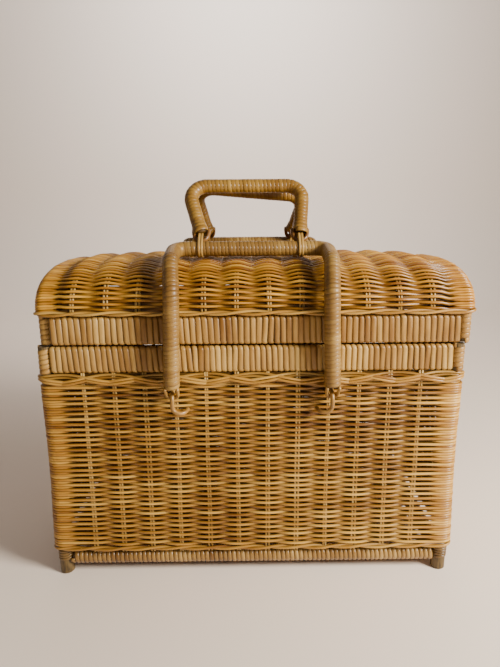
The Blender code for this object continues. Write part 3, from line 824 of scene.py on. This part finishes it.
def dome_weavers(angles):
    groups = [Strands() for _ in range(4)]
    for row, (t, pitch) in enumerate(zip(angles, np.gradient(angles))):
        normal = dome_normal(t)
        tangent = np.cross(normal, (1.0, 0.0, 0.0))
        left, right = arch_turn(t, pitch / 2, -1)[::-1], arch_turn(t, pitch / 2, 1)
        span, swing = dome_span(row, t, normal, tangent)
        path = np.concatenate([left, span, right])
        normals = np.concatenate([turn_normals(left, t, -1, tangent),
                                  np.broadcast_to(normal, span.shape),
                                  turn_normals(right, t, 1, tangent)])
        outside = np.full(LOOP_STEPS, SWING)
        swing = np.concatenate([outside, swing, outside])
        n = len(path)
        fade = np.minimum(1, np.minimum(np.arange(n), np.arange(n)[::-1]) / 9)
        path += normal * (wander(n, 0.00020, 28) * fade)[:, None]
        path += tangent * (wander(n, 0.00025, 22) * fade)[:, None]
        tone = np.clip(rng.uniform(0.15, 0.85) + wander(n, 0.16, 6), 0, 1)
        groups[row * 4 // DOME_ROWS].add(path, WEAVER_HEIGHT * inner_spread(swing), 2 * WEAVER_R,
                                         normals, tone=tone, shade=depth_shade(swing))
    for k, strands in enumerate(groups):
        strands.build(f"dome_weavers_{k + 1}", "lid", LID, "weave", ["dome_weave"])


def dome_ribs(angles):
    ribs = Strands()
    t = np.linspace(angles[0], angles[-1], 40)
    for x in RIBS:
        for side in (-1, 1):
            at = x + side * STAKE_GAP
            p = dome_point(np.full(40, at), t, LID_HALF[1] - DOME_MID, dome_rise(at) - DOME_MID)
            front, rear = [(LID_SHIFT + at, y, LID_Z1 + 0.0004) for y in (p[0, 1], p[-1, 1])]
            p = np.concatenate([[front], p, [rear]])
            p[:, 0] += wander(len(p), 0.0004, 8)
            tone = np.clip(rng.normal(0.5, 0.2), 0, 1)
            ribs.add(p, STAKE_THICK, STAKE_WIDTH, (1.0, 0, 0), tone=tone)
    ribs.build("dome_ribs", "lid", STAKE, "weave", ["dome_weave"])


END_STAKES = (np.arange(6) - 2.5) * 0.0300
END_ROW_PITCH = 0.00285


def end_row(half, row):
    """Return the places along Y of one weaver of a lid end, and its swing at each."""
    knots = [-half, *[y for y in END_STAKES if abs(y) < half - 0.006], half]
    swings = [0, *[swing_at(1, k, row) for k in range(1, len(knots) - 1)], 0]
    ys, swing = [], []
    for i in range(len(knots) - 1):
        for f in np.arange(SPAN_STEPS) / SPAN_STEPS:
            w = eased(f, 0, 1)
            ys.append(knots[i] + (knots[i + 1] - knots[i]) * f)
            swing.append(swings[i] * (1 - w) + swings[i + 1] * w)
    return np.array([*ys, half]), np.array([*swing, 0])


def lid_ends():
    """Half-moon panels under the arches: rows along Y over upright stake pairs."""
    line = dome_point(np.zeros(300), np.linspace(0.0, math.pi / 2, 300), ARCH_FOOT[1], ARCH_RISE)
    low, high = LID_Z1 + 0.0018, DOME_BASE_Z + ARCH_RISE - 0.001
    for name, sx in LEFT_RIGHT.items():
        strands = Strands()
        x = LID_SHIFT + sx * ARCH_FOOT[0]
        for row, z in enumerate(np.arange(low, high, END_ROW_PITCH)):
            ys, swing = end_row(np.interp(z, line[:, 2], -line[:, 1]) - 0.002, row)
            path = np.stack([x + sx * 0.85 * swing, ys, z + wander(len(ys), 0.0002, 10)], 1)
            strands.add(path, WEAVER_HEIGHT * inner_spread(swing), 2 * WEAVER_R, (1.0, 0, 0),
                        shade=depth_shade(swing))
        for y in END_STAKES:
            levels = np.linspace(LID_Z1 + 0.0004, np.interp(-abs(y), line[:, 1], line[:, 2]), 6)
            for side in (-1, 1):
                path = [(x, y + side * STAKE_GAP, z) for z in levels]
                strands.add(path, STAKE_WIDTH, STAKE_THICK, (1.0, 0, 0), tone=0.4)
        strands.build(f"lid_end_strands_{name}", "lid", LID, "weave", [f"lid_end_weave_{name}"])


# ---------------------------------------------------------------- bails and grips

def fillet(points, radii):
    """Return a polyline through the points, with each inner corner turned into an arc."""
    points = [np.array(p, float) for p in points]
    path = [points[0]]
    for corner, radius, start, end in zip(points[1:-1], radii, points, points[2:]):
        a, b = unit(start - corner), unit(end - corner)
        half = math.acos(np.clip(a @ b, -1, 1)) / 2
        centre = corner + unit(a + b) * (radius / math.sin(half))
        first = unit(corner + a * (radius / math.tan(half)) - centre)
        last = unit(corner + b * (radius / math.tan(half)) - centre)
        span = math.pi - 2 * half
        for i in range(13):
            f = i / 12
            v = (first * math.sin((1 - f) * span) + last * math.sin(f * span)) / math.sin(span)
            path.append(centre + v * radius)
    path.append(points[-1])
    return np.array(path)


BAIL_R = 0.0080
BAIL_LEG = ((0.0790, 0.1240, 0.2195), (0.0760, 0.1240, 0.3130), (0.0790, 0.1000, 0.3405),
            (0.0800, 0.0580, 0.3495))      # its end, elbow and shoulder, and the bar's corner
BAIL_BENDS = (0.022, 0.022, 0.012, 0.012, 0.022, 0.022)
RING_PIVOT = np.array((0.1154, 0.2030))    # y and z of a bail's axis
RING_R = 0.0110
BAIL_EYE_ANGLE = math.radians(39.5)        # of the eye, forward of vertical
BAR = np.array((0.0580, 0.3495))           # y and z of a bail's bar, the grip's axis
GRIP_R = 0.00775
GRIP_TOP = np.array((0.0083, 0.4155))
GRIP_FOOT_X, GRIP_TOP_X = 0.0525, 0.0645
GRIP_START = 0.0192                        # where a leg starts, from the bar's axis
GRIP_SKEW = {"front": -0.0055, "rear": 0.0}
GRIP_DROP = {"front": 0.0, "rear": 0.0130}
# the hooked end of a wall ring, from the bail's axis: sideways, away from the wall and up; it
# stays clear of the eye at any swing and goes into the wall
HOOK = ((0.0014, 0.0096, -0.0082), (0.0045, 0.0096, -0.0104), (0.0090, 0.0082, -0.0110),
        (0.0125, 0.0050, -0.0106), (0.0140, -0.0004, -0.0092))


def bails():
    for name, side in FRONT_REAR.items():
        leg = [(x, side * y, z) for x, y, z in BAIL_LEG]
        points = [(-x, y, z) for x, y, z in leg] + leg[::-1]
        path = fillet(points, BAIL_BENDS)
        strands = Strands()
        wind(strands, path, BAIL_R, 0.0039, thick=0.0011, steps=14, taper=0.006, overlap=1.42)
        strands.build(f"{name}_bail_wraps", f"{name}_bail_body", BAIL, "wrap", [f"{name}_bail"])


def grip_lean(side):
    """Return the foot of a grip on the middle of the bar, the direction of its lean, its length."""
    foot = np.array((0.0, side * BAR[0], BAR[1]))
    top = np.array((0.0, side * GRIP_TOP[0], GRIP_TOP[1]))
    return foot, unit(top - foot), np.linalg.norm(top - foot)


def grips():
    for name, side in FRONT_REAR.items():
        foot, along, length = grip_lean(side)
        points = []
        for sx, order, drop in ((-1, 1, 0.0), (1, -1, GRIP_DROP[name])):
            low = foot + np.array((sx * GRIP_FOOT_X, 0, 0)) + along * GRIP_START
            high = foot + np.array((sx * GRIP_TOP_X + GRIP_SKEW[name], 0, 0)) + along * (length - drop)
            points += [low, high][::order]
        path = fillet(points, [0.017, 0.017])
        strands = Strands()
        wind(strands, path, GRIP_R, 0.0044, thick=0.0012, steps=14, taper=0.05, ends=1.20,
             overlap=1.36)
        strands.build(f"{name}_grip_wraps", f"{name}_grip_body", GRIP, "wrap", [f"{name}_grip"])


def cane_eye(strands, centre, along, near, far, half, wide, thick):
    """Bend a flat cane into a U whose ends go up into a pole.

    near is the lowest point's distance from the centre, far where the pole begins, and half the
    pair of half widths at the pole and round the bend.
    """
    across = np.array((1.0, 0.0, 0.0))
    depth = np.cross(across, along)
    bend = near + half[1]
    path = [(-half[0], far + 0.005), (-half[0], far)]
    path += [(-half[1] * math.cos(math.pi * i / 12), bend - half[1] * math.sin(math.pi * i / 12))
             for i in range(13)]
    path += [(half[0], far), (half[0], far + 0.005)]
    path = np.array([centre + across * u + along * v for u, v in path])
    path = resample(smooth(path), 0.0009)
    tangent = unit(np.gradient(path, axis=0))
    strands.add(path, wide, thick, np.cross(tangent, depth), tone=0.45)


def bail_eye(name, x_name, centre, along):
    eye = Strands()
    cane_eye(eye, centre, along, 0.0052, 0.0165, (0.0060, 0.0056), 0.0050, 0.0032)
    eye.build(f"{name}_bail_eye_cane_{x_name}", f"{name}_bail_body", RING, "ring",
              [f"{name}_bail_eye_{x_name}"])


def wall_ring(name, side, x_name, sx, centre):
    """Ring from the wall through a bail's eye, with a hooked end."""
    root = BODY_HALF[1] + 0.0006 - RING_PIVOT[0] - 0.004
    path = [centre + np.array((0, side * root, RING_R))]
    for a in np.radians(np.linspace(0, 120, 11)):
        path.append(centre + RING_R * np.array((0, side * math.sin(a), math.cos(a))))
    path += [centre + np.array((-sx * dx, side * dy, dz)) for dx, dy, dz in HOOK]
    ring = Strands()
    ring.add(resample(smooth(path), 0.0012), 0.0046, 0.0044, (1.0, 0.1, 0.1), tone=0.35)
    ring.build(f"{name}_ring_cane_{x_name}", "basket", RING, "ring",
               [f"{name}_bail_ring_{x_name}"])


def grip_eye(name, x_name, centre, along):
    eye = Strands()
    cane_eye(eye, centre, along, 0.0096, 0.0186, (0.0079, 0.0073), 0.0062, 0.0044)
    eye.build(f"{name}_grip_eye_cane_{x_name}", f"{name}_grip_body", GRIP_EYE, "ring",
              [f"{name}_grip_eye_{x_name}"])


def grip_link(name, x_name, centre, along):
    """Two canes side by side, tied round the bail's bar and through the grip's eye."""
    near, far, reach = BAIL_R + 0.0008, 0.0055, 0.0125
    squeeze = math.asin((near - far) / reach)
    arcs = ((reach, far, -math.pi / 2 + squeeze, math.pi - 2 * squeeze),
            (0.0, near, math.pi / 2 - squeeze, math.pi + 2 * squeeze))
    across = np.array((1.0, 0.0, 0.0))
    over = np.cross(across, along)
    link = Strands()
    for turn in (-1, 1):
        tie = []
        for middle, radius, first, span in arcs:
            for a in first + span * np.linspace(0, 1, 13):
                tie.append(centre + across * turn * 0.00145
                           + along * (middle + radius * math.cos(a)) + over * radius * math.sin(a))
        tie = resample(tie, 0.0015, closed=True)
        outward = tie - (centre + along * reach * 0.5)
        outward[:, 0] = 0
        link.add(tie, 0.0030, 0.0012, unit(outward), closed=True, tone=0.75)
    link.build(f"{name}_link_cane_{x_name}", f"{name}_grip_body", WRAP, "wrap",
               [f"{name}_grip_link_{x_name}"])


def eyes_and_rings():
    for name, side in FRONT_REAR.items():
        along = np.array((0.0, side * math.sin(BAIL_EYE_ANGLE), math.cos(BAIL_EYE_ANGLE)))
        for x_name, sx in LEFT_RIGHT.items():
            centre = np.array((sx * BAIL_LEG[0][0], side * RING_PIVOT[0], RING_PIVOT[1]))
            bail_eye(name, x_name, centre, along)
            wall_ring(name, side, x_name, sx, centre)
        foot, along, _ = grip_lean(side)
        for x_name, sx in LEFT_RIGHT.items():
            centre = foot + np.array((sx * GRIP_FOOT_X, 0, 0))
            grip_eye(name, x_name, centre, along)
            grip_link(name, x_name, centre, along)


def smooth(points, rounds=2):
    """Return a polyline with its corners cut, keeping both ends."""
    points = np.array(points, float)
    for _ in range(rounds):
        a, b = points[:-1], points[1:]
        cut = np.stack([a * 0.75 + b * 0.25, a * 0.25 + b * 0.75], 1).reshape(-1, 3)
        points = np.concatenate([points[:1], cut[1:-1], points[-1:]])
    return points


HINGE = np.array((0.1180, 0.25875))         # y and z of the lid's axis
HINGE_X, HINGE_CANE, HINGE_TAB, HINGE_TURN_R = 0.135, 0.0030, 0.0200, 0.0031
# which way a loop's tab points, its first cane, and the tab's y
HINGE_LOOPS = {"basket": (-1, -3, 0.1144), "lid": (1, 0, 0.1149)}


def hinges():
    """Three canes side by side make each hinge loop; the rods keep their CAD shapes."""
    paint("hinge_rod", HINGE_ROD)
    for body, (up, first, tab_y) in HINGE_LOOPS.items():
        for name, sx in LEFT_RIGHT.items():
            strands = Strands()
            for k in range(3):
                x = sx * HINGE_X + HINGE_CANE * (first + k + 0.5)
                tab = HINGE_TAB + rng.uniform(-0.0012, 0.0)
                path = [(x, tab_y, HINGE[1] + up * dz) for dz in (tab, tab * 0.6, 0.0035)]
                for a in -up * np.radians(np.linspace(150, -180, 13)):
                    y, z = HINGE + HINGE_TURN_R * np.array((math.cos(a), math.sin(a)))
                    path.append((x, y, z))
                path = resample(smooth(path), 0.0008)
                normal = np.cross(unit(np.gradient(path, axis=0)), (1.0, 0, 0))
                strands.add(path, HINGE_CANE * 0.98, 0.0017, normal, tone=0.35 + 0.15 * k)
            strands.build(f"hinge_canes_{body}_{name}", body, RING, "ring",
                          [f"hinge_loop_{body}_{name}"])


# ---------------------------------------------------------------- stage

def backdrop():
    """Pale floor that curves up into a backdrop well behind the hamper."""
    reach, back, curve, top = 8.0, 1.9, 0.5, 2.6
    line = [(-reach, 0.0), (back - curve, 0.0)]
    line += [(back - curve + curve * math.sin(a), curve - curve * math.cos(a))
             for a in np.linspace(0.1, math.pi / 2, 10)]
    line.append((back, top))
    verts = [(x, y, z) for y, z in line for x in (-reach, reach)]
    faces = [(2 * i, 2 * i + 1, 2 * i + 3, 2 * i + 2) for i in range(len(line) - 1)]
    mesh = bpy.data.meshes.new("floor")
    mesh.from_pydata(verts, [], faces)
    mesh.shade_smooth()
    floor = linked("floor", mesh)
    mat = bpy.data.materials.new("floor")
    mat.use_nodes = True
    shader = mat.node_tree.nodes["Principled BSDF"]
    shader.inputs["Base Color"].default_value = (0.92, 0.79, 0.68, 1)
    shader.inputs["Roughness"].default_value = 0.6
    mesh.materials.append(mat)


def area_light(name, place, target, size, power, colour):
    light = bpy.data.lights.new(name, "AREA")
    light.shape = "DISK"
    light.size = size
    light.energy = power
    light.color = colour
    obj = linked(name, light)
    obj.location = place
    obj.rotation_mode = "QUATERNION"
    obj.rotation_quaternion = (Vector(target) - Vector(place)).to_track_quat("-Z", "Y")


def lights():
    """Soft daylight from the front right, a dim room, and a wash on the backdrop."""
    world = bpy.data.worlds.new("studio")
    bpy.context.scene.world = world
    world.use_nodes = True
    background = world.node_tree.nodes["Background"]
    background.inputs["Color"].default_value = (0.93, 0.88, 0.83, 1)
    background.inputs["Strength"].default_value = 0.235
    area_light("key", (0.98, -0.62, 0.74), (0, 0, 0.2), 0.42, 37, (1.0, 0.94, 0.84))
    area_light("wash", (0.0, 0.90, 1.60), (0, 1.9, 1.15), 0.9, 26, (0.97, 0.98, 1.0))


def build_camera():
    """Camera in front of the hamper, a little above it, looking slightly down."""
    place = (-0.0052, -0.5909, 0.382)
    yaw, pitch, roll = map(math.radians, (0.411, 13.11, -0.392))
    forward = np.array((math.sin(yaw) * math.cos(pitch), math.cos(yaw) * math.cos(pitch),
                        -math.sin(pitch)))
    level = unit(np.cross(forward, (0.0, 0.0, 1.0)))
    upright = np.cross(level, forward)
    right = level * math.cos(roll) + upright * math.sin(roll)
    up = upright * math.cos(roll) - level * math.sin(roll)
    data = bpy.data.cameras.new("camera")
    data.sensor_width = 36.0
    data.lens = 27.04
    data.clip_start = 0.01
    camera = linked("camera", data)
    columns = np.stack([right, up, -forward, place], 1)
    camera.matrix_world = Matrix((*columns.tolist(), (0, 0, 0, 1)))
    bpy.context.scene.camera = camera


wall_weavers()
wall_stakes()
borders()
base_mat()
poles()
bands()
bottom_rails()
dome_angles = dome_rows(DOME_ROWS, DOME_MID)
dome_weavers(dome_angles)
dome_ribs(dome_angles)
lid_ends()
bails()
grips()
eyes_and_rings()
hinges()
backdrop()
lights()
build_camera()
